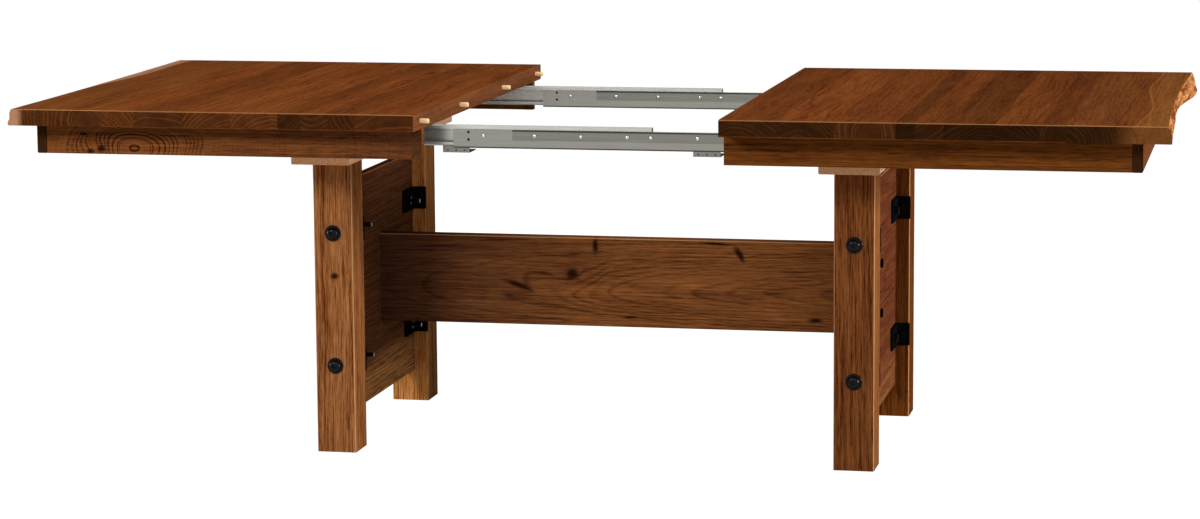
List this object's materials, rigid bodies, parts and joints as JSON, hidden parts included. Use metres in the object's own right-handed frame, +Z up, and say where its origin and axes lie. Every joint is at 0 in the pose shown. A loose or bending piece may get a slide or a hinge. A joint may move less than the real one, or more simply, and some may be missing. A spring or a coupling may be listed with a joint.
{
  "type": "extending dining table",
  "caption": "Extending dining table with a live-edge plank top in sliding halves, ball-bearing slides, trestle legs and a wide stretcher, drawn open.",
  "frame": {"origin": "on the floor under the middle of the table, midway between the two halves", "axes": "+X along the table towards the right half, +Y to the back, +Z up"},
  "size_m": [2.4639, 1.168, 0.762],
  "materials": {
    "top_wood": "satin",
    "base_wood": "satin",
    "head_wood": "satin",
    "dowel_wood": "matte",
    "zinc_steel": "zinc plated",
    "bearing_steel": "polished",
    "black_steel": "satin black",
    "guide_nylon": "matte"
  },
  "bodies": {
    "base": {"left_front_leg": "base_wood", "left_back_leg": "base_wood", "right_front_leg": "base_wood", "right_back_leg": "base_wood", "left_panel": "base_wood", "right_panel": "base_wood", "left_head_board": "head_wood", "right_head_board": "head_wood", "stretcher": "base_wood", "leg_bolts": "black_steel", "leg_washers": "black_steel", "corner_brackets": "black_steel", "bracket_lag_screws": "black_steel", "bracket_bolts": "black_steel", "bracket_nuts": "black_steel", "stretcher_bolts": "black_steel", "head_board_screws": "zinc_steel", "rail_guides": "guide_nylon", "guide_screws": "zinc_steel"},
    "left_half": {"left_inner_plank": "top_wood", "left_plank_1": "top_wood", "left_plank_2": "top_wood", "left_plank_3": "top_wood", "left_plank_4": "top_wood", "left_plank_5": "top_wood", "left_plank_6": "top_wood", "left_plank_7": "top_wood", "left_live_edge_plank": "top_wood", "left_front_apron": "top_wood", "left_back_apron": "top_wood", "left_end_apron": "top_wood", "left_apron_blocks": "top_wood", "leaf_dowels": "dowel_wood", "left_front_rail": "zinc_steel", "left_rear_rail": "zinc_steel", "left_rail_angles": "zinc_steel", "left_rail_screws": "zinc_steel", "left_rail_tab": "zinc_steel", "ball_cages": "zinc_steel", "bearing_balls": "bearing_steel"},
    "right_half": {"right_inner_plank": "top_wood", "right_plank_1": "top_wood", "right_plank_2": "top_wood", "right_plank_3": "top_wood", "right_plank_4": "top_wood", "right_plank_5": "top_wood", "right_plank_6": "top_wood", "right_plank_7": "top_wood", "right_live_edge_plank": "top_wood", "right_front_apron": "top_wood", "right_back_apron": "top_wood", "right_end_apron": "top_wood", "right_front_rail": "zinc_steel", "right_rear_rail": "zinc_steel", "right_rail_strips": "zinc_steel", "right_rail_rivets": "zinc_steel", "right_rail_screws": "zinc_steel", "right_rail_tab": "zinc_steel"}
  },
  "joints": [
    {"name": "left_half_slide", "type": "slide", "parent": "base", "child": "left_half", "axis": [1, 0, 0], "range_m": [0, 0.3175]},
    {"name": "right_half_slide", "type": "slide", "parent": "base", "child": "right_half", "axis": [-1, 0, 0], "range_m": [0, 0.3175]}
  ]
}
